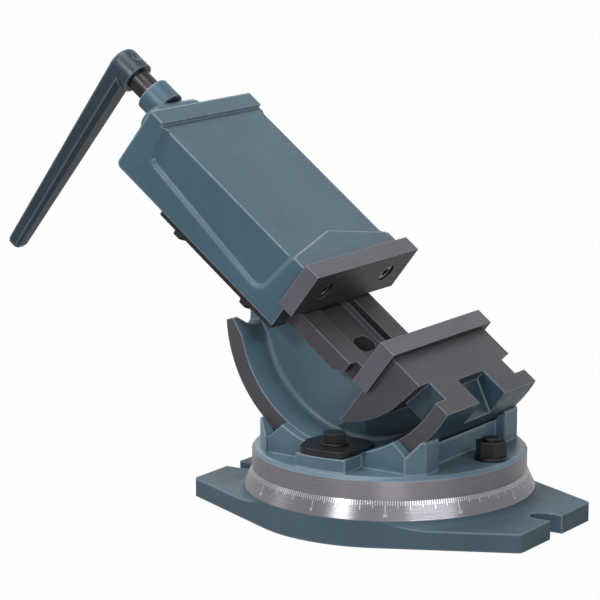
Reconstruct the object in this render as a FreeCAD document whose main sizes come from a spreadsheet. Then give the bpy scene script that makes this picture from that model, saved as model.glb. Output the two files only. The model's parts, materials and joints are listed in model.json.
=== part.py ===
"""Tilting milling vise with a swivel base, jaws 125 mm wide.

Row frame: origin on the swivel axis at the underside of the base, +Z up,
+X horizontal towards the fixed jaw, +Y along the width of the jaws.
The tilting pieces are drawn level, with their origin at the centre of the
rocker's arc, and are then swung up about +Y by tilt_angle.
"""
import FreeCAD
import Part
import Sketcher

import math
import os
from types import SimpleNamespace

DRIVING_SIZES = [
    # The two settings of the vise as it stands.
    ("tilt_angle", 37.5),
    ("jaw_opening", 60.0),
    # Base casting.
    ("ear_length", 29.5),
    ("ear_half_width", 46.5),
    ("ear_thickness", 12.5),
    ("ear_corner", 4.0),
    ("cone_run", 5.5),
    ("drum_height", 18.0),
    ("cove_radius", 5.5),
    ("flange_margin", 4.5),
    ("swivel_seat", 30.0),
    ("slot_radius", 8.0),
    ("slot_depth", 11.0),
    ("relief_inset", 18.0),
    ("relief_depth", 6.0),
    ("spigot_radius", 20.0),
    ("spigot_height", 8.0),
    ("tee_inset", 14.0),
    ("tee_neck", 13.0),
    ("tee_head", 22.0),
    ("tee_ceiling", 21.0),
    ("tee_floor", 11.0),
    # Swivel casting with its cradle.
    ("flange_height", 12.5),
    ("flange_chamfer", 2.5),
    ("boss_height", 9.0),
    ("boss_half_width", 19.0),
    ("cheek_thickness", 7.7),
    ("clamp_room", 29.5),
    ("saddle_half_length", 56.0),
    ("bay_half_width", 43.5),
    ("horn_reach", 64.0),
    ("horn_height", 21.5),
    ("notch_centre", 53.0),
    ("notch_height", 10.8),
    ("notch_edge", 42.6),
    # Tilting body.
    ("saddle_sink", 3.0),
    ("rocker_radius", 92.0),
    ("rim_thickness", 11.0),
    ("rocker_half_width", 58.0),
    ("rocker_start", 139.3),
    ("web_half_width", 30.0),
    ("web_fillet", 4.0),
    ("scallop_depth", 6.2),
    ("scallop_angle", 137.5),
    ("neck_half_width", 45.0),
    ("neck_depth", 24.0),
    ("deck", 10.0),
    ("block_back", 65.0),
    ("block_arc", 62.0),
    ("block_arc_end", 7.5),
    ("ledge_step", 4.5),
    ("fixed_face", 28.0),
    ("way_top", -25.0),
    ("way_thickness", 12.5),
    ("way_half_width", 42.0),
    ("way_rear", 126.0),
    ("way_end", 13.0),
    ("notch_half_width", 33.0),
    ("channel_half_width", 21.0),
    ("channel_depth", 6.0),
    ("floor_half_width", 15.0),
    ("ledge_half_width", 17.0),
    ("ledge_width", 1.8),
    ("ledge_drop", 3.0),
    ("core_radius", 6.5),
    ("core_half_length", 10.0),
    ("core_depth", 22.0),
    ("recess_start", 70.0),
    ("recess_half_width", 17.0),
    ("recess_depth", 8.0),
    # Jaw plates and their screws.
    ("jaw_width", 125.0),
    ("plate_thickness", 12.5),
    ("plate_top", 15.0),
    ("plate_bottom", -20.0),
    ("plate_screw_pitch", 76.0),
    ("plate_screw_bore", 13.5),
    ("plate_screw_sink", 9.0),
    # Movable jaw casting.
    ("jaw_half_width", 58.0),
    ("jaw_length", 168.0),
    ("jaw_skirt", -38.0),
    ("jaw_corner", 4.0),
    ("panel_depth", 2.0),
    ("roof_drop", 2.5),
    ("lip_width", 12.5),
    ("pad_edge", 23.5),
    ("pad_peak", 38.0),
    ("cavity_half_width", 32.0),
    ("cavity_roof", 1.0),
    ("front_wall", 12.5),
    ("rear_wall", 12.0),
    ("swell_half_width", 30.0),
    ("swell_radius", 12.0),
    ("swell_length", 18.0),
    ("swell_fillet", 6.0),
    ("collar_radius", 12.7),
    ("collar_length", 16.0),
    # Screw, nut and crank.
    ("screw_axis", -13.0),
    ("thread_radius", 8.0),
    ("journal_radius", 8.5),
    ("thrust_radius", 13.0),
    ("thrust_thickness", 5.0),
    ("thrust_recess", 10.0),
    ("square_side", 12.0),
    ("nut_half_length", 11.0),
    ("nut_centre", 111.5),
    ("nut_radius", 12.0),
    ("nut_screw_offset", 5.5),
    ("nut_screw_radius", 3.0),
    ("nut_screw_bite", 6.0),
    ("retainer_top", 13.6),
    ("retainer_screw_offset", 14.8),
    ("retainer_thickness", 3.0),
    ("hub_radius", 12.0),
    ("hub_length", 20.0),
    ("hub_gap", 16.0),
    ("crank_length", 169.0),
    ("crank_root_thickness", 15.0),
    ("crank_root_width", 22.0),
    ("crank_tip_thickness", 10.2),
    ("crank_tip_width", 13.2),
    # Keepers under the ways.
    ("keeper_start", 9.5),
    ("keeper_end", 121.0),
    ("keeper_inner", 37.0),
    ("keeper_thickness", 3.5),
    ("keeper_bolt_inset", 8.0),
    # Clamps and the hardware of the swivel.
    ("clamp_thickness", 4.5),
    ("clamp_toe_gap", 0.6),
    ("clamp_toe_half", 10.0),
    ("clamp_end_half", 16.0),
    ("clamp_half_width", 23.0),
    ("clamp_shoulder", 20.0),
    ("clamp_waist", 35.0),
    ("clamp_corner", 6.0),
    ("clamp_bolt_offset", 10.0),
    ("clamp_bolt_radius", 5.0),
    ("clamp_head_flats", 14.0),
    ("clamp_head_height", 6.4),
    ("swivel_bolt_radius", 6.0),
    ("swivel_nut_flats", 18.0),
    ("swivel_nut_height", 10.0),
    ("swivel_washer_radius", 11.0),
    ("swivel_washer_thickness", 2.5),
    ("running_gap", 0.3),
]

doc = FreeCAD.newDocument("TiltingVise")
sheet = doc.addObject("Spreadsheet::Sheet", "Sizes")


class Size:
    """A number that carries the spreadsheet formula it comes from."""

    def __init__(self, number, formula):
        self.number = number
        self.formula = formula

    def __add__(self, other):
        other = as_size(other)
        return Size(self.number + other.number, f"({self.formula} + {other.formula})")

    def __sub__(self, other):
        other = as_size(other)
        return Size(self.number - other.number, f"({self.formula} - {other.formula})")

    def __mul__(self, other):
        other = as_size(other)
        return Size(self.number * other.number, f"({self.formula} * {other.formula})")

    def __truediv__(self, other):
        other = as_size(other)
        return Size(self.number / other.number, f"({self.formula} / {other.formula})")

    def __neg__(self):
        return Size(-self.number, f"(0 - {self.formula})")

    def __radd__(self, other):
        return as_size(other) + self

    def __rsub__(self, other):
        return as_size(other) - self

    def __rmul__(self, other):
        return as_size(other) * self


def as_size(value):
    if isinstance(value, Size):
        return value
    return Size(float(value), f"({float(value)})")


def root(value):
    return Size(math.sqrt(value.number), f"sqrt({value.formula})")


def cosine(degrees):
    return Size(math.cos(math.radians(degrees.number)), f"cos({degrees.formula})")


def sine(degrees):
    return Size(math.sin(math.radians(degrees.number)), f"sin({degrees.formula})")


def arc_cosine(ratio):
    return Size(math.degrees(math.acos(ratio.number)), f"acos({ratio.formula})")


def arc_tangent(ratio):
    return Size(math.degrees(math.atan(ratio.number)), f"atan({ratio.formula})")


def leg(hypotenuse, other_leg):
    """The second short side of a right triangle."""
    return root(hypotenuse * hypotenuse - other_leg * other_leg)


def on_circle(radius, degrees):
    return (radius * cosine(degrees), radius * sine(degrees))


s = SimpleNamespace()
for row, (alias, number) in enumerate(DRIVING_SIZES, start=1):
    sheet.set(f"A{row}", alias)
    sheet.set(f"B{row}", str(number))
    sheet.setAlias(f"B{row}", alias)
    setattr(s, alias, Size(number, f"Sizes.{alias}"))
doc.recompute()


# Helpers that draw and cut

def bind(thing, prop, value):
    """Set a property and tie it to its formula."""
    value = as_size(value)
    thing.setExpression(prop, value.formula)


def new_body(name):
    made = doc.addObject("PartDesign::Body", name)
    made.Label = name
    return made


def origin_plane(body, role):
    return next(item for item in body.Origin.OriginFeatures if item.Role == role)


def new_sketch(body, role, offset=0):
    """An empty sketch on an origin plane, moved along its normal by offset."""
    sketch = body.newObject("Sketcher::SketchObject", "Sketch")
    sketch.AttachmentSupport = (origin_plane(body, role), "")
    sketch.MapMode = "FlatFace"
    if isinstance(offset, Size) or offset:
        shift = as_size(offset)
        sketch.AttachmentOffset = FreeCAD.Placement(
            FreeCAD.Vector(0, 0, shift.number), FreeCAD.Rotation())
        bind(sketch, "AttachmentOffset.Base.z", shift)
    return sketch


def lean_sketch(sketch, degrees, distance):
    """Turn a sketch's plane about its own horizontal axis, then move it along its normal."""
    spin = FreeCAD.Rotation(FreeCAD.Vector(1, 0, 0), degrees.number)
    sketch.AttachmentOffset = FreeCAD.Placement(FreeCAD.Vector(), spin)
    bind(sketch, "AttachmentOffset.Rotation.Angle", degrees)
    bind(sketch, "AttachmentOffset.Base.y", -distance * sine(degrees))
    bind(sketch, "AttachmentOffset.Base.z", distance * cosine(degrees))


def dimension(sketch, kind, value, *where):
    value = as_size(value)
    index = sketch.addConstraint(Sketcher.Constraint(kind, *where, value.number))
    name = f"{kind}{index}"
    sketch.renameConstraint(index, name)
    sketch.setExpression(f"Constraints.{name}", value.formula)


def fix_point(sketch, geometry, point, x, y):
    dimension(sketch, "DistanceX", x, -1, 1, geometry, point)
    dimension(sketch, "DistanceY", y, -1, 1, geometry, point)


def arc_between(start, end, radius, turn):
    """The short arc from start to end, turn +1 for anticlockwise."""
    half = (end - start) * 0.5
    rise = math.sqrt(max(radius ** 2 - half.Length ** 2, 0.0))
    side = FreeCAD.Vector(-half.y, half.x, 0)
    side.normalize()
    centre = start + half + side * (rise * turn)
    first, last = (start, end) if turn > 0 else (end, start)
    angles = [math.atan2(p.y - centre.y, p.x - centre.x) for p in (first, last)]
    circle = Part.Circle(centre, FreeCAD.Vector(0, 0, 1), radius)
    return Part.ArcOfCircle(circle, angles[0], angles[1])


def add_loop(sketch, corners):
    """A closed loop. A corner is (x, y), or (x, y, radius, turn) before an arc."""
    corners = [tuple(as_size(v) for v in corner[:3]) + tuple(corner[3:]) for corner in corners]
    points = [FreeCAD.Vector(c[0].number, c[1].number, 0) for c in corners]
    starts = []
    ends = []
    for index, corner in enumerate(corners):
        here = points[index]
        there = points[(index + 1) % len(points)]
        if len(corner) == 2:
            geometry = sketch.addGeometry(Part.LineSegment(here, there))
            starts.append((geometry, 1))
            ends.append((geometry, 2))
        else:
            arc = arc_between(here, there, corner[2].number, corner[3])
            geometry = sketch.addGeometry(arc)
            starts.append((geometry, 1 if corner[3] > 0 else 2))
            ends.append((geometry, 2 if corner[3] > 0 else 1))
    for index in range(len(corners)):
        following = starts[(index + 1) % len(corners)]
        sketch.addConstraint(Sketcher.Constraint("Coincident", *ends[index], *following))
    for index, corner in enumerate(corners):
        fix_point(sketch, *starts[index], corner[0], corner[1])
        if len(corner) == 4:
            dimension(sketch, "Radius", corner[2], starts[index][0])


def outline(body, role, corners, offset=0):
    """A sketch of one closed loop on an origin plane."""
    sketch = new_sketch(body, role, offset)
    add_loop(sketch, corners)
    return sketch


def rectangle(body, role, x0, y0, x1, y1, offset=0):
    return outline(body, role, [(x0, y0), (x1, y0), (x1, y1), (x0, y1)], offset)


def circles(body, role, rounds, offset=0):
    """A sketch of circles, each (x, y, radius)."""
    sketch = new_sketch(body, role, offset)
    for x, y, radius in rounds:
        x, y, radius = as_size(x), as_size(y), as_size(radius)
        centre = FreeCAD.Vector(x.number, y.number, 0)
        shape = Part.Circle(centre, FreeCAD.Vector(0, 0, 1), radius.number)
        geometry = sketch.addGeometry(shape)
        fix_point(sketch, geometry, 3, x, y)
        dimension(sketch, "Radius", radius, geometry)
    return sketch


def hexagon(body, role, flats, offset=0, turn=0.0):
    """A six-sided outline about the origin, measured across its flats."""
    corner = as_size(flats) / math.sqrt(3.0)
    angles = [as_size(turn + 60.0 * k) for k in range(6)]
    return outline(body, role, [on_circle(corner, angle) for angle in angles], offset)


def feature(body, kind, sketch, length, both, back):
    made = body.newObject(f"PartDesign::{kind}", kind)
    made.Profile = sketch
    made.SideType = "Symmetric" if both else "One side"
    made.Reversed = back
    bind(made, "Length", length)
    sketch.Visibility = False
    doc.recompute()
    return made


def pad(body, sketch, length, both=False, back=False):
    return feature(body, "Pad", sketch, length, both, back)


def pocket(body, sketch, length, both=False, back=False):
    """Cut a sketch. The volume must fall, or the cut points away from the solid."""
    before = body.Shape.Volume
    made = feature(body, "Pocket", sketch, length, both, back)
    if body.Shape.Volume >= before - 1e-6:
        raise ValueError(f"a pocket of {body.Label} removes nothing")
    return made


def revolve(body, sketch, axis="V_Axis", kind="Revolution"):
    made = body.newObject(f"PartDesign::{kind}", kind)
    made.Profile = sketch
    made.ReferenceAxis = (sketch, [axis])
    made.Angle = 360.0
    doc.recompute()
    return made


def edges_of(body, wanted):
    """Names of the edges whose middle point and direction suit."""
    names = []
    for index, edge in enumerate(body.Tip.Shape.Edges, start=1):
        middle = edge.valueAt((edge.FirstParameter + edge.LastParameter) / 2)
        if wanted(edge, middle):
            names.append(f"Edge{index}")
    return names


def dress(body, kind, wanted, size):
    """Fillet or chamfer the chosen edges."""
    names = edges_of(body, wanted)
    if not names:
        raise ValueError(f"no edge of {body.Label} to {kind.lower()}")
    base = body.Tip
    made = body.newObject(f"PartDesign::{kind}", kind)
    made.Base = (base, names)
    bind(made, "Radius" if kind == "Fillet" else "Size", size)
    doc.recompute()
    return made


def near(value, size, slack=0.05):
    return abs(value - as_size(size).number) < slack


def stand(body, x, y, z):
    """Place a piece of the base or the swivel, upright."""
    for axis, value in zip("xyz", (x, y, z)):
        bind(body, f"Placement.Base.{axis}", value)


def seat(body, along, across, above):
    """Place a tilting piece by its place in the level frame of the rocker."""
    along, above = as_size(along), as_size(above)
    swing = FreeCAD.Rotation(FreeCAD.Vector(0, 1, 0), s.tilt_angle.number)
    body.Placement = FreeCAD.Placement(FreeCAD.Vector(), swing)
    bind(body, "Placement.Rotation.Angle", s.tilt_angle)
    bind(body, "Placement.Base.x", along * cosine(s.tilt_angle) + above * sine(s.tilt_angle))
    bind(body, "Placement.Base.y", across)
    bind(body, "Placement.Base.z",
         rocker_centre - along * sine(s.tilt_angle) + above * cosine(s.tilt_angle))


# Sizes that several pieces share
swivel_top = s.swivel_seat + s.flange_height + s.flange_chamfer
cradle_radius = s.rocker_half_width + s.clamp_room
swivel_radius = cradle_radius + s.flange_margin
drum_radius = swivel_radius + s.cone_run
ear_reach = drum_radius + s.ear_length
slot_centre = ear_reach - s.slot_depth
tee_circle = swivel_radius - s.tee_inset
relief_radius = tee_circle - s.relief_inset
horn_top = swivel_top + s.horn_height
notch_bottom = swivel_top + s.notch_height
rocker_centre = swivel_top - s.saddle_sink + s.rocker_radius
rocker_inner = s.rocker_radius - s.rim_thickness
clamp_inner = s.neck_half_width + s.clamp_toe_gap
clamp_bolt_circle = s.rocker_half_width + s.clamp_bolt_offset
keeper_bolt_line = s.jaw_half_width - s.keeper_bolt_inset
boss_top = swivel_top + s.boss_height
clamp_top = boss_top + s.clamp_thickness
saddle_half_width = s.rocker_half_width + s.running_gap
saddle_radius = s.rocker_radius + s.running_gap
cheek_half_width = saddle_half_width + s.cheek_thickness
plate_middle = (s.plate_top + s.plate_bottom) / 2
screw_offset = s.plate_screw_pitch / 2
fixed_seat = s.fixed_face + s.plate_thickness
movable_face = s.fixed_face - s.jaw_opening
way_bottom = s.way_top - s.way_thickness
channel_floor = s.way_top - s.channel_depth
way_thickness_at_floor = s.way_thickness - s.channel_depth
bearing_end = s.jaw_length + s.swell_length + s.collar_length
rear_inside = s.jaw_length - s.rear_wall
hub_inner = bearing_end + s.hub_gap
hub_outer = hub_inner + s.hub_length
sides = (-1.0, 1.0)
side_names = {-1.0: "near", 1.0: "far"}
end_names = {-1.0: "left", 1.0: "right"}


def make_base_casting():
    """Eared plate and drum in one casting, with a graduated cone and a round T-slot."""
    body = new_body("base_casting")
    neck_out = tee_circle + s.tee_neck / 2
    neck_in = tee_circle - s.tee_neck / 2
    head_out = tee_circle + s.tee_head / 2
    head_in = tee_circle - s.tee_head / 2
    revolve(body, outline(body, "XZ_Plane", [
        (0, 0),
        (ear_reach * 1.2, 0),
        (ear_reach * 1.2, s.ear_thickness),
        (drum_radius + s.cove_radius, s.ear_thickness, s.cove_radius, -1),
        (drum_radius, s.drum_height),
        (swivel_radius, s.swivel_seat),
        (neck_out, s.swivel_seat),
        (neck_out, s.tee_ceiling),
        (head_out, s.tee_ceiling),
        (head_out, s.tee_floor),
        (head_in, s.tee_floor),
        (head_in, s.tee_ceiling),
        (neck_in, s.tee_ceiling),
        (neck_in, s.swivel_seat),
        (s.spigot_radius, s.swivel_seat),
        (s.spigot_radius, s.swivel_seat + s.spigot_height),
        (0, s.swivel_seat + s.spigot_height),
    ]))
    # The plan: the drum's circle, with straight tangents out to the corners of the ears.
    reach = root(ear_reach * ear_reach + s.ear_half_width * s.ear_half_width)
    lean = arc_tangent(s.ear_half_width / ear_reach) + arc_cosine(drum_radius / reach)
    touch_x, touch_y = on_circle(drum_radius, lean)
    plan = outline(body, "XY_Plane", [
        (ear_reach, -s.ear_half_width),
        (ear_reach, s.ear_half_width),
        (touch_x, touch_y, drum_radius, 1),
        (-touch_x, touch_y),
        (-ear_reach, s.ear_half_width),
        (-ear_reach, -s.ear_half_width),
        (-touch_x, -touch_y, drum_radius, 1),
        (touch_x, -touch_y),
    ])
    frame = as_size(2) * ear_reach
    add_loop(plan, [(-frame, -frame), (frame, -frame), (frame, frame), (-frame, frame)])
    pocket(body, plan, s.drum_height, back=True)
    corner_x, corner_y = ear_reach.number, s.ear_half_width.number
    dress(body, "Fillet",
          lambda edge, mid: near(abs(mid.x), corner_x) and near(abs(mid.y), corner_y)
          and near(mid.z, s.ear_thickness / 2), s.ear_corner)
    # Entry for the T-bolt heads, and a relief that leaves a ring and a pad to stand on.
    entry = circles(body, "XY_Plane", [(0, tee_circle, s.tee_head / 2)], s.swivel_seat)
    pocket(body, entry, s.swivel_seat - s.tee_floor)
    relief = circles(body, "XY_Plane", [(0, 0, relief_radius), (0, 0, relief_radius * 0.4)])
    pocket(body, relief, s.relief_depth, back=True)
    for side in sides:
        throat = rectangle(body, "XY_Plane", slot_centre * side, -s.slot_radius,
                           (ear_reach + 1) * side, s.slot_radius)
        pocket(body, throat, s.ear_thickness, back=True)
        end = circles(body, "XY_Plane", [(slot_centre * side, 0, s.slot_radius)])
        pocket(body, end, s.ear_thickness, back=True)
    return body


def make_swivel_casting():
    """Turned flange with the cradle on it: saddle, cheeks, four horns and two bosses."""
    body = new_body("swivel_casting")
    bore = s.spigot_radius + s.running_gap
    bore_top = s.swivel_seat + s.spigot_height + s.running_gap
    revolve(body, outline(body, "XZ_Plane", [
        (bore, s.swivel_seat),
        (swivel_radius, s.swivel_seat),
        (swivel_radius, swivel_top - s.flange_chamfer),
        (swivel_radius - s.flange_chamfer, swivel_top),
        (0, swivel_top),
        (0, bore_top),
        (bore, bore_top),
    ]))
    rocker_side_z = rocker_centre - leg(rocker_inner, s.notch_edge)
    horn_end = [
        (s.horn_reach, horn_top - 1.5),
        (s.horn_reach - 1.2, horn_top),
        (s.horn_reach - 2.5, horn_top),
        (s.notch_centre, notch_bottom),
    ]
    mirrored = [(-x, z) for x, z in reversed(horn_end)]
    cheeks = outline(body, "XZ_Plane", [
        (-s.horn_reach, swivel_top),
        (s.horn_reach, swivel_top),
        *horn_end,
        (s.notch_edge, rocker_side_z, rocker_inner, -1),
        (-s.notch_edge, rocker_side_z),
        *mirrored,
    ])
    pad(body, cheeks, cheek_half_width * 2, both=True)
    for side in sides:
        shape = [(s.notch_centre, swivel_top), (s.horn_reach, swivel_top)] + horn_end
        horn = outline(body, "XZ_Plane", [(x * side, z) for x, z in shape])
        pad(body, horn, swivel_radius * 2, both=True)
    boss = rectangle(body, "XZ_Plane", -s.boss_half_width, swivel_top,
                     s.boss_half_width, boss_top)
    pad(body, boss, swivel_radius * 2, both=True)
    trim = circles(body, "XY_Plane", [
        (0, 0, cradle_radius),
        (0, 0, swivel_radius * 2),
    ], swivel_top)
    pocket(body, trim, horn_top, back=True)
    saddle = circles(body, "XZ_Plane", [(0, rocker_centre, saddle_radius)])
    pocket(body, saddle, saddle_half_width * 2, both=True)
    for side in sides:
        bay = rectangle(body, "XZ_Plane", s.saddle_half_length * side, swivel_top,
                        swivel_radius * side, horn_top + 1)
        pocket(body, bay, s.bay_half_width * 2, both=True)
    bolt_holes = circles(body, "XY_Plane", [
        (tee_circle, 0, s.tee_neck / 2),
        (-tee_circle, 0, s.tee_neck / 2),
    ], s.swivel_seat)
    pocket(body, bolt_holes, s.flange_height + s.flange_chamfer, back=True)
    tapped = circles(body, "XY_Plane", [
        (0, clamp_bolt_circle, s.clamp_bolt_radius),
        (0, -clamp_bolt_circle, s.clamp_bolt_radius),
    ], boss_top)
    pocket(body, tapped, s.boss_height + s.flange_height)
    return body


def make_tilting_body():
    """Rocker, web, bed with its ways and the block of the fixed jaw, in one casting."""
    body = new_body("tilting_body")
    deck_outer = leg(s.rocker_radius, s.deck)
    deck_inner = leg(rocker_inner, s.deck)
    tip = on_circle(s.rocker_radius, -s.rocker_start)
    root_angle = s.rocker_start - 8
    inner_end = on_circle(rocker_inner, -root_angle)
    rim = outline(body, "XZ_Plane", [
        (*tip, s.rocker_radius, 1),
        (deck_outer, s.deck),
        (deck_inner, s.deck, rocker_inner, -1),
        inner_end,
        on_circle(s.rocker_radius - 5, -(s.rocker_start + 0.8)),
    ])
    pad(body, rim, s.rocker_half_width * 2, both=True)
    # The web fills the rocker's circle below the bed, right out to the rim's outside.
    web = outline(body, "XZ_Plane", [
        (-leg(s.rocker_radius, way_bottom), way_bottom, s.rocker_radius, 1),
        (deck_outer, s.deck),
        (fixed_seat, s.deck),
        (fixed_seat, way_bottom),
    ])
    pad(body, web, s.web_half_width * 2, both=True)
    dress(body, "Fillet",
          lambda edge, mid: near(abs(mid.y), s.web_half_width)
          and near(math.hypot(mid.x, mid.z), rocker_inner), s.web_fillet)
    bite = rocker_inner + 2
    neck_low = s.deck - s.neck_depth
    neck = outline(body, "XZ_Plane", [
        (s.block_arc - 4, neck_low),
        (leg(bite, -neck_low), neck_low, bite, 1),
        (leg(bite, s.deck), s.deck),
        (s.block_arc - 4, s.deck),
    ])
    pad(body, neck, s.neck_half_width * 2, both=True)
    arc_low = fixed_seat - s.ledge_step
    block = outline(body, "XZ_Plane", [
        (arc_low, s.plate_bottom),
        (arc_low, -leg(s.block_arc, arc_low), s.block_arc, 1),
        on_circle(s.block_arc, -s.block_arc_end),
        (s.block_back, s.deck),
        (fixed_seat, s.deck),
        (fixed_seat, s.plate_bottom),
    ])
    pad(body, block, s.rocker_half_width * 2, both=True)
    bed = rectangle(body, "XZ_Plane", -s.way_rear, way_bottom, fixed_seat, s.way_top)
    pad(body, bed, s.way_half_width * 2, both=True)
    # A scallop in the end of the rim, on each side of the web.
    scallop_bottom = s.rocker_radius * sine(s.rocker_start - s.scallop_angle) - s.scallop_depth
    rim_end = scallop_bottom + s.scallop_depth
    for side in sides:
        half = [
            (s.web_half_width + 24, rim_end + 1.5),
            (s.web_half_width + 16, scallop_bottom + 2.2),
            (s.web_half_width + 10, scallop_bottom),
            (s.web_half_width + 4, scallop_bottom),
            (s.web_half_width + 1, scallop_bottom + 1.6),
            (s.web_half_width, scallop_bottom + 5),
            (s.web_half_width, rim_end + 25),
            (s.web_half_width + 24, rim_end + 25),
        ]
        scallop = outline(body, "YZ_Plane", [(y * side, z) for y, z in half])
        lean_sketch(scallop, s.scallop_angle - 180, 4 - rocker_inner)
        pocket(body, scallop, s.rocker_radius - rocker_inner + 8)
    ledge_outer = s.ledge_half_width + s.ledge_width
    ledge_top = s.way_top - s.ledge_drop
    half_channel = [
        (s.floor_half_width, channel_floor),
        (s.ledge_half_width, ledge_top),
        (ledge_outer, ledge_top),
        (ledge_outer, channel_floor),
        (s.channel_half_width, channel_floor),
        (s.channel_half_width, s.way_top + 1),
    ]
    channel = outline(body, "YZ_Plane",
                      half_channel + [(-y, z) for y, z in reversed(half_channel)],
                      -s.way_rear - 1)
    pocket(body, channel, s.way_rear + 1 + arc_low, back=True)
    slope = s.core_half_length - s.core_radius
    core = rectangle(body, "XY_Plane", -s.core_radius - 1.5, -slope, s.core_radius - 1.5, slope,
                     s.way_top)
    pocket(body, core, s.core_depth)
    for side in sides:
        core_end = circles(body, "XY_Plane", [(-1.5, slope * side, s.core_radius)], s.way_top)
        pocket(body, core_end, s.core_depth)
        # Relief at the end of each way, in front of the fixed jaw.
        relief = outline(body, "XZ_Plane", [
            (s.way_end, s.way_top + 1),
            (s.way_end, way_bottom + 4.5),
            (s.way_end - 8, way_bottom),
            (s.way_end - 8, way_bottom - 1),
            (arc_low, way_bottom - 1),
            (arc_low, s.way_top + 1),
        ], s.notch_half_width * -side)
        pocket(body, relief, s.way_half_width, back=side < 0)
        tapped = circles(body, "YZ_Plane", [
            (screw_offset * side, plate_middle, s.thread_radius / 2),
        ], fixed_seat)
        pocket(body, tapped, 18, back=True)
    recess = outline(body, "XZ_Plane", [
        (s.recess_start, s.deck + 1),
        (s.recess_start, s.deck - s.recess_depth),
        (s.rocker_radius + 1, s.deck - s.recess_depth * 2.5),
        (s.rocker_radius + 1, s.deck + 1),
    ])
    pocket(body, recess, s.recess_half_width * 2, both=True)
    nut_holes = circles(body, "XY_Plane", [
        (-s.nut_centre - s.nut_screw_offset, 0, s.nut_screw_radius + s.running_gap),
        (-s.nut_centre + s.nut_screw_offset, 0, s.nut_screw_radius + s.running_gap),
    ], s.way_top)
    pocket(body, nut_holes, s.way_thickness + 1)
    seat(body, 0, 0, 0)
    return body


def make_movable_jaw():
    """Long hollow jaw casting that straddles the ways; its origin is at the jaw face."""
    body = new_body("movable_jaw")
    back = s.plate_thickness
    profile = outline(body, "XZ_Plane", [
        (-s.jaw_length, s.jaw_skirt),
        (s.ledge_step - back - 1, s.jaw_skirt),
        (s.ledge_step - back - 1, s.plate_bottom),
        (-back, s.plate_bottom),
        (-back, s.deck),
        (-s.jaw_length, s.deck),
    ])
    pad(body, profile, s.jaw_half_width * 2, both=True)
    dress(body, "Fillet",
          lambda edge, mid: near(mid.x, -s.jaw_length.number) and near(mid.z, s.jaw_skirt),
          s.jaw_corner)
    wide = s.jaw_half_width + 2
    roof = outline(body, "XY_Plane", [
        (s.lip_width - s.jaw_length, -wide),
        (-s.pad_edge, -wide),
        (-s.pad_peak, 0),
        (-s.pad_edge, wide),
        (s.lip_width - s.jaw_length, wide),
    ], s.deck - s.roof_drop)
    pocket(body, roof, s.roof_drop + 1, back=True)
    rear = s.jaw_length - s.lip_width - 3
    for side in sides:
        panel = outline(body, "XZ_Plane", [
            (-rear, s.deck + 1),
            (1.2 - rear, s.deck - 25),
            (5.5 - rear, s.deck - 29.5),
            (-s.pad_edge - 12, s.deck - 39),
            (-s.pad_edge - 5, s.deck - 35),
            (-s.pad_edge, s.deck + 1),
        ], (s.jaw_half_width - s.panel_depth) * -side)
        pocket(body, panel, s.panel_depth + 1, back=side < 0)
    cavity = rectangle(body, "XZ_Plane", -rear_inside, s.jaw_skirt - 1,
                       -back - s.front_wall, s.cavity_roof)
    pocket(body, cavity, s.cavity_half_width * 2, both=True)
    track = rectangle(body, "XZ_Plane", -s.jaw_length - 1, s.jaw_skirt - 1, 1, s.way_top)
    pocket(body, track, (s.way_half_width + s.running_gap) * 2, both=True)
    lobe = s.swell_half_width - s.swell_radius
    low = s.screw_axis - s.swell_radius - 2
    high = low + s.swell_radius * 2
    swell = outline(body, "YZ_Plane", [
        (-lobe, low),
        (lobe, low, s.swell_radius, 1),
        (s.swell_half_width, low + s.swell_radius, s.swell_radius, 1),
        (lobe, high),
        (-lobe, high, s.swell_radius, 1),
        (-s.swell_half_width, low + s.swell_radius, s.swell_radius, 1),
    ], -s.jaw_length)
    pad(body, swell, s.swell_length, back=True)
    swell_end = s.jaw_length + s.swell_length
    dress(body, "Fillet", lambda edge, mid: near(mid.x, -swell_end.number), s.swell_fillet)
    collar = circles(body, "YZ_Plane", [(0, s.screw_axis, s.collar_radius)], -swell_end)
    pad(body, collar, s.collar_length, back=True)
    bore = circles(body, "YZ_Plane", [
        (0, s.screw_axis, s.journal_radius + s.running_gap),
    ], -bearing_end)
    pocket(body, bore, bearing_end - rear_inside, back=True)
    thrust = circles(body, "YZ_Plane", [
        (0, s.screw_axis, s.thrust_radius + s.running_gap),
    ], -rear_inside)
    pocket(body, thrust, s.thrust_recess)
    tapped = circles(body, "YZ_Plane", [
        (screw_offset * side, plate_middle, s.thread_radius / 2) for side in sides
    ], -back)
    pocket(body, tapped, 18)
    seat(body, movable_face, 0, 0)
    return body


def make_jaw_plate(name, face, facing):
    """Ground jaw plate with two counterbored holes. It faces along facing."""
    body = new_body(name)
    low = s.plate_bottom - plate_middle
    blank = rectangle(body, "YZ_Plane", -s.jaw_width / 2, low, s.jaw_width / 2, -low)
    pad(body, blank, s.plate_thickness, back=facing > 0)
    bores = [(screw_offset * side, 0, s.plate_screw_bore / 2) for side in sides]
    pocket(body, circles(body, "YZ_Plane", bores), s.plate_screw_sink, back=facing < 0)
    holes = [(screw_offset * side, 0, s.thread_radius / 2 + s.running_gap) for side in sides]
    pocket(body, circles(body, "YZ_Plane", holes), s.plate_thickness, back=facing < 0)
    seat(body, face, 0, plate_middle)
    return body


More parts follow.
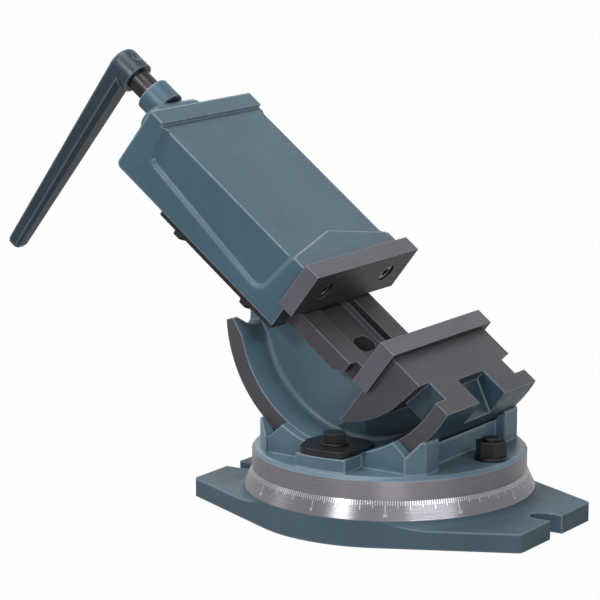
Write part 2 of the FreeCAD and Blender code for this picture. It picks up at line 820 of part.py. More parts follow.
def make_plate_screw(name, face, side, facing):
    """Socket head screw that holds a jaw plate."""
    body = new_body(name)
    head = circles(body, "YZ_Plane", [(0, 0, s.plate_screw_bore / 2 - s.running_gap)])
    pad(body, head, s.thread_radius, back=facing > 0)
    shank = circles(body, "YZ_Plane", [(0, 0, s.thread_radius / 2 - 0.05)],
                    s.thread_radius * -facing)
    pad(body, shank, s.plate_thickness + 6, back=facing > 0)
    pocket(body, hexagon(body, "YZ_Plane", 6, turn=30.0), 4, back=facing < 0)
    sink = s.plate_screw_sink - s.thread_radius
    seat(body, face - sink * facing, screw_offset * side, plate_middle)
    return body


def make_feed_screw():
    """Screw that stays with the movable jaw; its origin is on the axis at the jaw face."""
    body = new_body("feed_screw")
    front = s.plate_thickness + s.front_wall + 2
    thrust_front = rear_inside + s.thrust_recess - s.thrust_thickness
    thrust_rear = rear_inside + s.thrust_recess
    journal_end = hub_inner
    square_end = hub_outer - 3
    revolve(body, outline(body, "XZ_Plane", [
        (-front, 0),
        (-front, s.thread_radius - 1.5),
        (-front - 1.5, s.thread_radius),
        (-thrust_front, s.thread_radius),
        (-thrust_front, s.thrust_radius),
        (-thrust_rear, s.thrust_radius),
        (-thrust_rear, s.journal_radius),
        (-journal_end, s.journal_radius),
        (-journal_end, 0),
    ]), axis="H_Axis")
    half = s.square_side / 2
    square = rectangle(body, "YZ_Plane", -half, -half, half, half, -journal_end + 0.5)
    pad(body, square, square_end - journal_end + 0.5, back=True)
    seat(body, movable_face, 0, s.screw_axis)
    return body


def make_feed_nut():
    """Nut that stands in the channel of the bed; its origin is on the screw axis."""
    body = new_body("feed_nut")
    foot = channel_floor - s.screw_axis
    block = outline(body, "YZ_Plane", [
        (s.floor_half_width - 0.2, foot),
        (s.floor_half_width - 0.2, foot + 5),
        (s.nut_radius, foot + 7),
        (s.nut_radius, 0),
        (-s.nut_radius, 0),
        (-s.nut_radius, foot + 7),
        (0.2 - s.floor_half_width, foot + 5),
        (0.2 - s.floor_half_width, foot),
    ])
    pad(body, block, s.nut_half_length * 2, both=True)
    barrel = circles(body, "YZ_Plane", [(0, 0, s.nut_radius)])
    pad(body, barrel, s.nut_half_length * 2, both=True)
    bore = circles(body, "YZ_Plane", [(0, 0, s.thread_radius + 0.25)])
    pocket(body, bore, s.nut_half_length * 2 + 2, both=True)
    tapped = circles(body, "XY_Plane", [
        (s.nut_screw_offset * side, 0, s.nut_screw_radius) for side in sides
    ], foot)
    pocket(body, tapped, s.nut_screw_bite + 1, back=True)
    seat(body, -s.nut_centre, 0, s.screw_axis)
    return body


def make_nut_screw(name, side):
    """Socket head screw from below the bed into the nut."""
    body = new_body(name)
    head = s.nut_screw_radius * 2
    reach = way_thickness_at_floor + s.nut_screw_bite
    pad(body, circles(body, "XY_Plane", [(0, 0, head - 1)]), head, back=True)
    pad(body, circles(body, "XY_Plane", [(0, 0, s.nut_screw_radius - 0.05)]), reach)
    pocket(body, hexagon(body, "XY_Plane", 5, -head), s.nut_screw_radius, back=True)
    seat(body, -s.nut_centre + s.nut_screw_offset * side, 0, way_bottom)
    return body


def retainer_screw_places():
    high = s.retainer_top - 3
    return [(-s.retainer_screw_offset, -high), (s.retainer_screw_offset, -high),
            (-s.retainer_screw_offset, high), (s.retainer_screw_offset, high)]


def make_thrust_retainer():
    """Plate inside the rear wall that keeps the screw's flange in its recess."""
    body = new_body("thrust_retainer")
    half = s.retainer_screw_offset + 3
    top = s.retainer_top
    plate = outline(body, "YZ_Plane", [
        (-half + 3, -top),
        (half - 3, -top),
        (half, 3 - top),
        (half, top - 3),
        (half - 3, top),
        (-half + 3, top),
        (-half, top - 3),
        (-half, 3 - top),
    ])
    pad(body, plate, s.retainer_thickness)
    bore = circles(body, "YZ_Plane", [(0, 0, s.thread_radius + 0.5)])
    pocket(body, bore, s.retainer_thickness, back=True)
    drilled = circles(body, "YZ_Plane", [(y, z, 1.9) for y, z in retainer_screw_places()])
    pocket(body, drilled, s.retainer_thickness, back=True)
    seat(body, movable_face - rear_inside, 0, s.screw_axis)
    return body


def make_retainer_screw(name, y, z):
    """Slotted screw of the retainer."""
    body = new_body(name)
    thick = s.retainer_thickness
    pad(body, circles(body, "YZ_Plane", [(0, 0, 2.8)], thick), 1.6)
    pad(body, circles(body, "YZ_Plane", [(0, 0, 1.7)], thick), thick, back=True)
    pocket(body, rectangle(body, "YZ_Plane", -2.9, -0.4, 2.9, 0.4, thick + 1.6), 0.8)
    seat(body, movable_face - rear_inside, y, s.screw_axis + z)
    return body


def make_crank_handle():
    """Hub with a tapering bevelled arm; its origin is on the screw axis at the hub's outer end."""
    body = new_body("crank_handle")
    pad(body, circles(body, "YZ_Plane", [(0, 0, s.hub_radius)]), s.hub_length)
    dress(body, "Fillet", lambda edge, mid: near(mid.x, 0) and edge.Closed, 4)
    # The arm tapers from the hub to a rounded tip; its outer face leans inwards.
    stations = (
        (as_size(0), s.crank_root_thickness, s.crank_root_width, 1.0),
        (5 - s.crank_length, s.crank_tip_thickness, s.crank_tip_width, 1.0),
        (1.6 - s.crank_length, s.crank_tip_thickness, s.crank_tip_width, 0.8),
        (-s.crank_length, s.crank_tip_thickness, s.crank_tip_width, 0.45),
    )
    sections = []
    for height, thick, width, share in stations:
        middle = s.crank_root_thickness - thick / 2
        inner = middle + thick * 0.5 * share
        outer = middle - thick * 0.5 * share
        half = width * 0.5 * share
        sections.append(outline(body, "XY_Plane", [
            (outer, -half * 0.8),
            (outer + half * 0.12, -half),
            (inner - half * 0.36, -half),
            (inner, -half * 0.55),
            (inner, half * 0.55),
            (inner - half * 0.36, half),
            (outer + half * 0.12, half),
            (outer, half * 0.8),
        ], height))
    arm = body.newObject("PartDesign::AdditiveLoft", "Loft")
    arm.Profile = sections[0]
    arm.Sections = sections[1:]
    arm.Ruled = True
    doc.recompute()
    half = s.square_side / 2 + 0.1
    socket = rectangle(body, "YZ_Plane", -half, -half, half, half, s.hub_length)
    pocket(body, socket, s.hub_length - 3 + 0.2)
    grub = circles(body, "XY_Plane", [(s.hub_length / 2, 0, 3)], s.hub_radius)
    pocket(body, grub, s.hub_radius - half)
    seat(body, movable_face - hub_outer, 0, s.screw_axis)
    return body


def make_handle_set_screw():
    body = new_body("handle_set_screw")
    length = s.hub_radius - s.square_side / 2 - 1
    pad(body, circles(body, "XY_Plane", [(0, 0, 2.95)]), length)
    pocket(body, hexagon(body, "XY_Plane", 3, length), 2.5)
    seat(body, movable_face - hub_outer + s.hub_length / 2, 0,
         s.screw_axis + s.square_side / 2)
    return body


def make_keeper(name, side):
    """Flat strip under the skirt that hooks beneath the way."""
    body = new_body(name)
    outer = s.jaw_half_width - 1
    strip = rectangle(body, "XY_Plane", -s.keeper_end, s.keeper_inner * side,
                      -s.keeper_start, outer * side)
    pad(body, strip, s.keeper_thickness, back=True)
    holes = [(x, keeper_bolt_line * side, 3.3) for x in keeper_bolt_places()]
    pocket(body, circles(body, "XY_Plane", holes), s.keeper_thickness)
    seat(body, movable_face, 0, s.jaw_skirt)
    return body


def keeper_bolt_places():
    return (18 - s.keeper_end, -s.keeper_start - 26.5)


def make_keeper_bolt(name, place, side):
    body = new_body(name)
    pad(body, hexagon(body, "XY_Plane", 10), 4, back=True)
    pad(body, circles(body, "XY_Plane", [(0, 0, 3)]), s.keeper_thickness)
    seat(body, movable_face + place, keeper_bolt_line * side, s.jaw_skirt - s.keeper_thickness)
    return body


def make_clamp_plate(name, side):
    """Forged clamp: it stands on the boss and hooks over the rocker's rim."""
    body = new_body(name)
    edge = leg(cradle_radius, s.clamp_end_half)
    shoulder = edge - s.clamp_shoulder
    waist = edge - s.clamp_waist
    half = [
        (s.clamp_end_half, edge),
        (s.clamp_half_width, shoulder),
        (s.clamp_half_width - 3, waist),
        (s.clamp_toe_half, clamp_inner),
    ]
    plan = half + [(-x, y) for x, y in reversed(half)]
    plan = [(x, y * side) for x, y in plan]
    plan[-1] = (*plan[-1], cradle_radius, -side)
    pad(body, outline(body, "XY_Plane", plan, boss_top), s.clamp_thickness)
    corner_y = edge.number * side
    dress(body, "Fillet",
          lambda rim, mid: near(abs(mid.x), s.clamp_end_half) and near(mid.y, corner_y),
          s.clamp_corner)
    # The underside follows the inside of the rim.
    under = outline(body, "XZ_Plane", [
        (-30, boss_top - 1),
        (30, boss_top - 1),
        (30, rocker_centre - leg(rocker_inner - s.running_gap, as_size(30)),
         rocker_inner - s.running_gap, -1),
        (-30, rocker_centre - leg(rocker_inner - s.running_gap, as_size(30))),
    ])
    pocket(body, under, swivel_radius * 2, both=True)
    hole = circles(body, "XY_Plane", [
        (0, clamp_bolt_circle * side, s.clamp_bolt_radius + s.running_gap),
    ], clamp_top)
    pocket(body, hole, s.clamp_thickness)
    return body


def make_washer(name, x, y, z, inner, outer, thickness):
    body = new_body(name)
    pad(body, circles(body, "XY_Plane", [(0, 0, outer), (0, 0, inner)]), thickness)
    stand(body, x, y, z)
    return body


def make_clamp_bolt(name, side):
    body = new_body(name)
    pad(body, hexagon(body, "XY_Plane", s.clamp_head_flats), s.clamp_head_height)
    shank = circles(body, "XY_Plane", [(0, 0, s.clamp_bolt_radius - 0.1)])
    pad(body, shank, s.clamp_thickness + s.boss_height + 9, back=True)
    stand(body, 0, clamp_bolt_circle * side, clamp_top + 1.6)
    return body


def make_swivel_bolt(name, side):
    """T-bolt: square head in the circular slot, shank up through the flange."""
    body = new_body(name)
    half = s.tee_head / 2 - 2
    head = rectangle(body, "XY_Plane", -half, -half, half, half)
    pad(body, head, s.tee_ceiling - s.tee_floor - 2, back=True)
    nut_top = swivel_top + s.swivel_washer_thickness + s.swivel_nut_height
    shank = circles(body, "XY_Plane", [(0, 0, s.swivel_bolt_radius - 0.1)])
    pad(body, shank, nut_top + 2 - s.tee_ceiling)
    stand(body, tee_circle * side, 0, s.tee_ceiling)
    return body


def make_swivel_nut(name, side):
    body = new_body(name)
    pad(body, hexagon(body, "XY_Plane", s.swivel_nut_flats, turn=15.0), s.swivel_nut_height)
    bore = circles(body, "XY_Plane", [(0, 0, s.swivel_bolt_radius + 0.1)])
    pocket(body, bore, s.swivel_nut_height, back=True)
    stand(body, tee_circle * side, 0, swivel_top + s.swivel_washer_thickness)
    return body


pieces = [
    make_base_casting(),
    make_swivel_casting(),
    make_tilting_body(),
    make_movable_jaw(),
    make_jaw_plate("fixed_jaw_plate", s.fixed_face, -1.0),
    make_jaw_plate("movable_jaw_plate", movable_face, 1.0),
    make_feed_screw(),
    make_feed_nut(),
    make_nut_screw("nut_screw_front", 1.0),
    make_nut_screw("nut_screw_rear", -1.0),
    make_thrust_retainer(),
    make_crank_handle(),
    make_handle_set_screw(),
]
for number, (y, z) in enumerate(retainer_screw_places(), start=1):
    pieces.append(make_retainer_screw(f"retainer_screw_{number}", y, z))
for side in sides:
    where = side_names[side]
    end = end_names[side]
    pieces.append(make_plate_screw(f"fixed_plate_screw_{where}", s.fixed_face, side, -1.0))
    pieces.append(make_plate_screw(f"movable_plate_screw_{where}", movable_face, side, 1.0))
    pieces.append(make_keeper(f"keeper_{where}", side))
    rear_place, front_place = keeper_bolt_places()
    pieces.append(make_keeper_bolt(f"keeper_bolt_{where}_rear", rear_place, side))
    pieces.append(make_keeper_bolt(f"keeper_bolt_{where}_front", front_place, side))
    pieces.append(make_clamp_plate(f"clamp_plate_{where}", side))
    pieces.append(make_washer(f"clamp_washer_{where}", 0, clamp_bolt_circle * side, clamp_top,
                              s.clamp_bolt_radius + s.running_gap, 9, 1.6))
    pieces.append(make_clamp_bolt(f"clamp_bolt_{where}", side))
    pieces.append(make_washer(f"swivel_washer_{end}", tee_circle * side, 0, swivel_top,
                              s.swivel_bolt_radius + 0.5, s.swivel_washer_radius,
                              s.swivel_washer_thickness))
    pieces.append(make_swivel_bolt(f"swivel_bolt_{end}", side))
    pieces.append(make_swivel_nut(f"swivel_nut_{end}", side))

doc.recompute()
for item in doc.Objects:
    if "Invalid" in item.State or "Error" in item.State:
        raise ValueError(f"{item.Label} failed: {item.State}")
os.makedirs("parts", exist_ok=True)
for piece in pieces:
    shape = piece.Shape
    if shape.isNull() or not shape.isValid():
        raise ValueError(f"{piece.Label} has no valid shape")
    shape.exportStep(f"parts/{piece.Label}.step")
    print(piece.Label, len(shape.Solids), round(shape.Volume / 1000.0, 1), "cm3")
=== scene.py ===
# %% [markdown]
# # A tilting vise, dressed over its solid model
# The solid model fixes where everything is. This lesson gives each casting and screw the
# rounded edges, the enamel, the ground steel and the scale that the real vise has, and then
# sets up a pale studio and the camera.

# %% Load the frame
import json
import math

import bpy
import bmesh
import numpy as np
from mathutils import Matrix

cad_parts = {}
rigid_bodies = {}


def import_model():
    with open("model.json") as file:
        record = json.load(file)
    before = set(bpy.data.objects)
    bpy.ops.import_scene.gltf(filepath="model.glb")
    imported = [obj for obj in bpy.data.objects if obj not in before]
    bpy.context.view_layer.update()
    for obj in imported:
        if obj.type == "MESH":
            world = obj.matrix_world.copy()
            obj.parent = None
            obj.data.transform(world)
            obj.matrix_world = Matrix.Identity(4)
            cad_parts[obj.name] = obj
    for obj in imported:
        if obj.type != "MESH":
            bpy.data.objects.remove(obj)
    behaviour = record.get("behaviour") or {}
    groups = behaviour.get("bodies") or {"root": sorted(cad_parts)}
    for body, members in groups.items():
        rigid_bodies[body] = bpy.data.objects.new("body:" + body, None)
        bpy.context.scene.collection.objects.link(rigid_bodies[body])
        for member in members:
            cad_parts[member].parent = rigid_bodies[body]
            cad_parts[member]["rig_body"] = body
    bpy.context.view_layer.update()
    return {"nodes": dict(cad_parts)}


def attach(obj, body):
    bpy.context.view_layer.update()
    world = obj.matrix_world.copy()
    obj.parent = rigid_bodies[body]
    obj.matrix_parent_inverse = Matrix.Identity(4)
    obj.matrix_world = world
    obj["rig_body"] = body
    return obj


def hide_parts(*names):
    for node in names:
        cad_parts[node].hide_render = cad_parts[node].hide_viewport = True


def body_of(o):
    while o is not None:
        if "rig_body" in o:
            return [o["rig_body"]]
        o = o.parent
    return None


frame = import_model()
nodes = frame["nodes"]

# %% [markdown]
# ## Two frames
# The base and the swivel stand upright. The rocker and all that rides on it are drawn level
# and then swung up by 37.5 degrees about an axis 134 mm above the table. Working out which
# faces of a tilted casting are machined is easier in the level frame, so one function turns
# points back into it, and another brings new points out of it.

# %% The level frame of the rocker
MM = 0.001
TILT = math.radians(37.5)
CENTRE = 134 * MM
JAW_FACE = -32.0  # mm, where the front of the movable jaw stands along the level frame's X
SCREW_LINE = -13.0  # mm, the height of the screw's axis in the level frame
DECK = 10.0  # mm, the height of both jaws' tops in the level frame
to_level = np.array([[math.cos(TILT), 0, -math.sin(TILT)],
                     [0, 1, 0],
                     [math.sin(TILT), 0, math.cos(TILT)]])


def level(points):
    """Row-frame points in the level frame: shift to the rocker's centre, then turn back."""
    return (np.asarray(points) - (0, 0, CENTRE)) @ to_level.T


def tilted(points):
    """Level-frame points brought out to where they stand."""
    return np.asarray(points) @ to_level + (0, 0, CENTRE)


print("the screw leaves the jaw at", tilted(np.array([[-250, 0, SCREW_LINE]]) * MM).round(3))

# %% [markdown]
# ## Colours in the screen's scale
# A colour is written in the screen's own scale. Shaders want linear light, so
# the numbers are converted once here.

# %% Colour helper
def tone(red, green, blue):
    """Screen colour from 0 to 255, turned into linear light by the usual power law."""
    c = np.array([red, green, blue]) / 255
    linear = np.where(c <= 0.04045, c / 12.92, ((c + 0.055) / 1.055) ** 2.4)
    return (*linear.tolist(), 1.0)


print("enamel", tone(82, 104, 118))

# %% [markdown]
# ## A small bench of shader parts
# Every finish below is a Principled shader fed by a few textures in object coordinates.
# The helpers add one node each and return the socket, so that a finish reads like a recipe.
# One helper rounds the edges: near an edge it blends the normals of both sides, and it also
# gives a mask that is 0 on flat ground and 1 on the edge itself, for wear and painted edge
# highlights.

# %% Shader bench
EDGE_STARTS, EDGE_FULL = 0.995, 0.91  # cosines of 6 and 24 degrees between the two normals


class Finish:
    """One material and its node tree."""

    def __init__(self, name, metallic, roughness, **fixed):
        self.material = bpy.data.materials.new(name)
        self.material.use_nodes = True
        self.tree = self.material.node_tree
        self.shader = self.tree.nodes["Principled BSDF"]
        self.shader.inputs["Metallic"].default_value = metallic
        self.shader.inputs["Roughness"].default_value = roughness
        for socket, value in fixed.items():
            self.shader.inputs[socket.replace("_", " ")].default_value = value
        self.place = self.tree.nodes.new("ShaderNodeTexCoord").outputs["Object"]

    def add(self, kind, inputs=(), **settings):
        node = self.tree.nodes.new("ShaderNode" + kind)
        for key, value in settings.items():
            setattr(node, key, value)
        for key, value in dict(inputs).items():
            if isinstance(value, bpy.types.NodeSocket):
                self.tree.links.new(value, node.inputs[key])
            else:
                node.inputs[key].default_value = value
        return node

    def math(self, operation, a, b=0.0, c=0.0):
        return self.add("Math", {0: a, 1: b, 2: c}, operation=operation).outputs[0]

    def noise(self, scale, detail=3.0, place=None, rough=0.55):
        node = self.add("TexNoise", {"Vector": place or self.place, "Scale": scale,
                                     "Detail": detail, "Roughness": rough})
        return node.outputs["Fac"]

    def stretch(self, factors, turn=0.0):
        """Coordinates turned about Y and stretched, so that a noise becomes fine lines."""
        turned = self.add("Mapping", {"Vector": self.place, "Rotation": (0, turn, 0)})
        scaled = self.add("Mapping", {"Vector": turned.outputs[0], "Scale": factors})
        return scaled.outputs[0]

    def mix(self, factor, a, b):
        node = self.add("Mix", data_type="RGBA")
        for key, value in ((0, factor), (6, a), (7, b)):
            if isinstance(value, bpy.types.NodeSocket):
                self.tree.links.new(value, node.inputs[key])
            else:
                node.inputs[key].default_value = value
        return node.outputs[2]

    def band(self, value, low, high, out_low=0.0, out_high=1.0):
        node = self.add("MapRange", {"Value": value, "From Min": low, "From Max": high,
                                     "To Min": out_low, "To Max": out_high})
        return node.outputs[0]

    def colour(self, socket):
        self.tree.links.new(socket, self.shader.inputs["Base Color"])

    def rough(self, socket):
        self.tree.links.new(socket, self.shader.inputs["Roughness"])

    def rounded(self, radius):
        """The normal of a rounded edge, and a mask from the cosine between it and the flat one."""
        soft = self.add("Bevel", {"Radius": radius}, samples=6).outputs[0]
        flat = self.add("NewGeometry").outputs["Normal"]
        agree = self.add("VectorMath", {0: soft, 1: flat}, operation="DOT_PRODUCT")
        return soft, self.band(agree.outputs["Value"], EDGE_STARTS, EDGE_FULL)

    def bump(self, height, strength, depth, onto=None):
        inputs = {"Height": height, "Strength": strength, "Distance": depth}
        if onto:
            inputs["Normal"] = onto
        normal = self.add("Bump", inputs).outputs[0]
        self.tree.links.new(normal, self.shader.inputs["Normal"])
        return normal


print("shader bench ready")

# %% [markdown]
# ## Enamel on cast iron
# The castings are sprayed with grey-blue machine enamel. It is semi-gloss, it flows over the
# lumps that the sand mould left, and it has a fine orange-peel skin. Its edges are painted
# lighter, partly as paint rubbed by handling and partly as a painted highlight. Two noises give
# the skin and the lumps, two more vary the colour and set the specks, and another breaks up the
# lighter edges. The swivel and the inside of the rocker take a lighter copy of the enamel,
# painted light, and the outside of the rocker a deeper copy, painted shade. The crank is the
# deepest enamel, and the base is the flattest.

# %% Enamel
PAINT_ROUND, MACHINED_ROUND, TURNED_ROUND, STEEL_ROUND = 2.2 * MM, 0.6 * MM, 0.5 * MM, 0.4 * MM
# lighter tones for the edges: partly rubbed paint and broken metal, partly a painted highlight
RUBBED_PAINT_AND_SHEEN, BROKEN_EDGE_AND_GLINT = (152, 170, 183), (196, 196, 204)


def enamel(name, body_colour, shade, gloss=0.36, wear_and_sheen=0.9, shine=0.36):
    """Two close tones mixed by a wide noise, specks, and lighter edges as wear and painted
    highlight.
    """
    f = Finish(name, 0.0, gloss, Specular_IOR_Level=shine)
    soft, rim = f.rounded(PAINT_ROUND)
    patches = f.band(f.noise(14, 4), 0.35, 0.65)
    colour = f.mix(patches, tone(*body_colour), tone(*shade))
    specks = f.band(f.noise(1900, 2), 0.60, 0.74, 0.0, 0.35)
    colour = f.mix(specks, colour, tone(*(v * 0.72 for v in body_colour)))
    rub_and_sheen = f.band(f.noise(260, 5, rough=0.7), 0.36, 0.66, 0.4, wear_and_sheen)
    # painted highlight and wear: the edges are mixed towards a lighter tone
    colour = f.mix(f.math("MULTIPLY", rim, rub_and_sheen), colour, tone(*RUBBED_PAINT_AND_SHEEN))
    f.colour(colour)
    f.rough(f.band(f.noise(60, 3), 0.3, 0.7, gloss - 0.05, gloss + 0.07))
    lumps = f.bump(f.noise(95, 3), 0.20, 1.0 * MM, soft)
    f.bump(f.noise(1050, 2), 0.16, 0.16 * MM, lumps)
    return f.material


paint = enamel("enamel", (68, 93, 107), (60, 85, 99))
base_paint = enamel("enamel_base", (76, 95, 107), (70, 88, 100), 0.50, wear_and_sheen=0.6, shine=0.1)
# painted shade: a deeper copy of the enamel for the outside of the rocker
rocker_shaded_paint = enamel("enamel_rocker_shaded", (45, 67, 79), (38, 58, 69), wear_and_sheen=0.5)
# painted light: a lighter copy of the enamel for the swivel and the inside of the rocker
swivel_lit_paint = enamel("enamel_swivel_lit", (86, 109, 123), (77, 100, 114), wear_and_sheen=0.5)
crank_paint = enamel("enamel_crank", (36, 54, 67), (28, 45, 58), 0.30, wear_and_sheen=0.55)
print("enamels", [m.name for m in (paint, base_paint, rocker_shaded_paint, swivel_lit_paint, crank_paint)])

# %% [markdown]
# ## Machined and ground iron
# Faces that slide or locate are milled or ground bare. The tool leaves fine parallel lines,
# so a noise is stretched hundreds of times across one direction. It drives the colour a
# little, the roughness more, and a very shallow bump. Scales are in waves per metre.

# %% Machined finishes
ALONG_X, ALONG_Y = (60, 2600, 2600), (2600, 50, 2600)


def machined(name, light, dark, roughness, factors, turn=0.0, metallic=0.4):
    """Stretched noise as tool lines, cloudy stains, and edges painted bright as broken metal and
    highlight.
    """
    f = Finish(name, metallic, roughness)
    soft, rim = f.rounded(MACHINED_ROUND)
    lines = f.noise(1.0, 3, f.stretch(factors, turn))
    stains = f.band(f.noise(24, 5), 0.30, 0.72)
    colour = f.mix(f.band(lines, 0.3, 0.7), tone(*light), tone(*dark))
    colour = f.mix(f.math("MULTIPLY", stains, 0.45), colour, tone(*(v * 0.82 for v in dark)))
    # painted highlight: every edge is mixed towards a bright tone, which also stands for broken
    # metal
    f.colour(f.mix(f.math("MULTIPLY", rim, 0.55), colour, tone(*BROKEN_EDGE_AND_GLINT)))
    f.rough(f.band(lines, 0.25, 0.75, roughness - 0.06, roughness + 0.08))
    f.bump(lines, 0.35, 0.02 * MM, soft)
    return f.material


milled = machined("milled_iron", (78, 77, 82), (66, 65, 70), 0.50, ALONG_X, TILT)
ground = machined("ground_plate", (96, 97, 105), (84, 85, 93), 0.44, ALONG_Y, TILT)
# painted shade: a darker copy of the ground steel for the plates' gripping faces
shaded_plate_face = machined("ground_face_shaded", (46, 45, 49), (34, 33, 36), 0.46, ALONG_Y, TILT, 0.1)
underside = machined("planed_underside", (112, 112, 116), (96, 96, 100), 0.5, (2400, 40, 2400))
print("machined", milled.name, ground.name)

# %% [markdown]
# ## The turned band with its scale
# The rim of the swivel and the cone below it are turned bright in a lathe, so their lines run
# round the axis. A polar map makes those lines: the angle is left almost alone and the height
# and radius are stretched. Grooves throw light across themselves, so the gloss is drawn out at
# a right angle to the round direction, and each lamp shows as an upright streak. The cone
# carries a scale of 360 degrees. Cut into the steel there is a short line at each degree, a
# longer one at each fifth and tenth, and the longest at each thirtieth, where a number stands.

# %% Turned steel and scale
CONE_LOW, CONE_TOP = 18 * MM, 30 * MM
LINE_LENGTHS = ((1, 2.9), (5, 4.2), (10, 5.4), (30, 7.0))  # step in degrees, length in mm
LINE_HALF_WIDTH = 0.11  # degrees
GROOVES = 2400  # waves per metre


def turned(name, light, dark, roughness, graduated=False, metallic=0.95):
    """Lines follow the angle round Z. The scale is where the angle is near a whole step."""
    f = Finish(name, metallic, roughness, Anisotropic=0.75, Anisotropic_Rotation=0.25)
    round_axis = f.add("Tangent", direction_type="RADIAL", axis="Z")
    f.tree.links.new(round_axis.outputs[0], f.shader.inputs["Tangent"])
    soft, _ = f.rounded(TURNED_ROUND)
    x, y, z = (f.add("SeparateXYZ", {0: f.place}).outputs[k] for k in range(3))
    angle = f.math("ARCTAN2", y, x)
    radius = f.math("SQRT", f.math("ADD", f.math("MULTIPLY", x, x), f.math("MULTIPLY", y, y)))
    polar = f.add("CombineXYZ", {0: f.math("MULTIPLY", angle, 1.5),
                                 1: f.math("MULTIPLY", radius, GROOVES),
                                 2: f.math("MULTIPLY", z, GROOVES)}).outputs[0]
    lines = f.noise(1.0, 3, polar)
    haze = f.noise(30, 4)
    colour = f.mix(f.band(lines, 0.3, 0.7), tone(*light), tone(*dark))
    colour = f.mix(f.band(haze, 0.35, 0.7, 0.0, 0.35), colour, tone(*(v * 0.88 for v in dark)))
    height = lines
    if graduated:
        degrees = f.math("MULTIPLY", angle, 180 / math.pi)
        marks = None
        for step, length in LINE_LENGTHS:
            turns = f.math("DIVIDE", degrees, step)
            off = f.math("ABSOLUTE", f.math("SUBTRACT", turns, f.math("ROUND", turns)))
            near = f.math("LESS_THAN", f.math("MULTIPLY", off, step), LINE_HALF_WIDTH)
            high = f.math("GREATER_THAN", z, CONE_TOP - length * MM)
            cut = f.math("MULTIPLY", near, high)
            marks = cut if marks is None else f.math("MAXIMUM", marks, cut)
        colour = f.mix(f.math("MULTIPLY", marks, 0.7), colour, tone(222, 222, 226))
        height = f.math("SUBTRACT", lines, f.math("MULTIPLY", marks, 3.0))
    f.colour(colour)
    f.rough(f.band(lines, 0.25, 0.75, roughness - 0.03, roughness + 0.05))
    f.bump(height, 0.2, 0.012 * MM, soft)
    return f.material


flange_steel = turned("turned_flange", (132, 129, 134), (118, 115, 120), 0.40, metallic=0.9)
scale_steel = turned("turned_scale", (124, 122, 127), (110, 108, 113), 0.28, graduated=True)
print("turned", flange_steel.name, scale_steel.name)

# %% [markdown]
# ## Black and bright steel
# Bolts, nuts and the clamps are blackened: nearly black, with a soft sheen and a brownish cast
# where the oil has dried. Screw heads inside the plates are left bright.

# %% Hardware finishes
def hardware(name, light, dark, roughness, metallic, edge_wear_and_sheen=(120, 120, 126)):
    """Cloudy two-tone metal with a fine grain, and corners mixed to an edge tone as wear and
    painted highlight.
    """
    f = Finish(name, metallic, roughness)
    soft, rim = f.rounded(STEEL_ROUND)
    cloud = f.band(f.noise(160, 5), 0.32, 0.7)
    colour = f.mix(cloud, tone(*light), tone(*dark))
    # painted highlight and wear: corners are mixed towards the edge tone
    f.colour(f.mix(f.math("MULTIPLY", rim, 0.5), colour, tone(*edge_wear_and_sheen)))
    f.rough(f.band(f.noise(420, 3), 0.3, 0.7, roughness - 0.06, roughness + 0.1))
    f.bump(f.noise(1500, 3), 0.2, 0.08 * MM, soft)
    return f.material


black = hardware("blackened_steel", (24, 24, 27), (14, 14, 17), 0.34, 0.3)
bright = hardware("bright_steel", (150, 140, 122), (104, 96, 84), 0.24, 1.0, (214, 206, 186))
screw_steel = hardware("screw_steel", (40, 38, 39), (20, 19, 21), 0.3, 0.4)
# painted shade: near-black walls for the counterbores
bore_shade = hardware("bore_painted_shade", (34, 32, 34), (20, 19, 21), 0.55, 0.4)
cored = hardware("cored_hole", (86, 85, 90), (62, 61, 66), 0.55, 0.2)
print("hardware", black.name, bright.name)

# %% [markdown]
# ## One solid, several finishes
# A casting is painted in one place and machined in the next, so its solid is copied, and each
# face of the copy gets its finish from its middle and its normal. The copy then stands for the
# solid. Its loose triangles are merged, and it keeps the normals of the true surfaces, so that
# curves shade smoothly and corners stay crisp. The castings' edges are rounded by the shader.
# Plates and small pieces are simple enough for a real bevel over single flat faces.

# %% Dressing a solid
GRID = 1e-6  # places closer than this are one corner
FLAT = math.radians(0.25)  # faces that turn less than this become one
SHARP = math.radians(32)  # edges that turn more than this get a bevel


def face_facts(mesh, in_level):
    """Middles in mm and normals of all faces, turned into the level frame if asked."""
    middle = np.empty(len(mesh.polygons) * 3)
    normal = np.empty(len(mesh.polygons) * 3)
    mesh.polygons.foreach_get("center", middle)
    mesh.polygons.foreach_get("normal", normal)
    middle, normal = middle.reshape(-1, 3), normal.reshape(-1, 3)
    if in_level:
        middle, normal = level(middle), normal @ to_level.T
    return middle / MM, normal


def merged_copy(source, name):
    """The same triangles on shared corners, and at each corner the normal of the true surface."""
    places = np.empty(len(source.vertices) * 3)
    corners = np.empty(len(source.loops), dtype=np.int32)
    normals = np.empty(len(source.loops) * 3)
    source.vertices.foreach_get("co", places)
    source.loops.foreach_get("vertex_index", corners)
    source.corner_normals.foreach_get("vector", normals)
    shared, where = np.unique(np.round(places.reshape(-1, 3) / GRID), axis=0,
                              return_inverse=True)
    triangles = where.ravel()[corners].reshape(-1, 3)
    whole = (triangles != np.roll(triangles, 1, axis=1)).all(axis=1)
    mesh = bpy.data.meshes.new(name)
    mesh.from_pydata((shared * GRID).tolist(), [], triangles[whole].tolist())
    mesh.shade_smooth()
    return mesh, normals.reshape(-1, 3, 3)[whole].reshape(-1, 3)


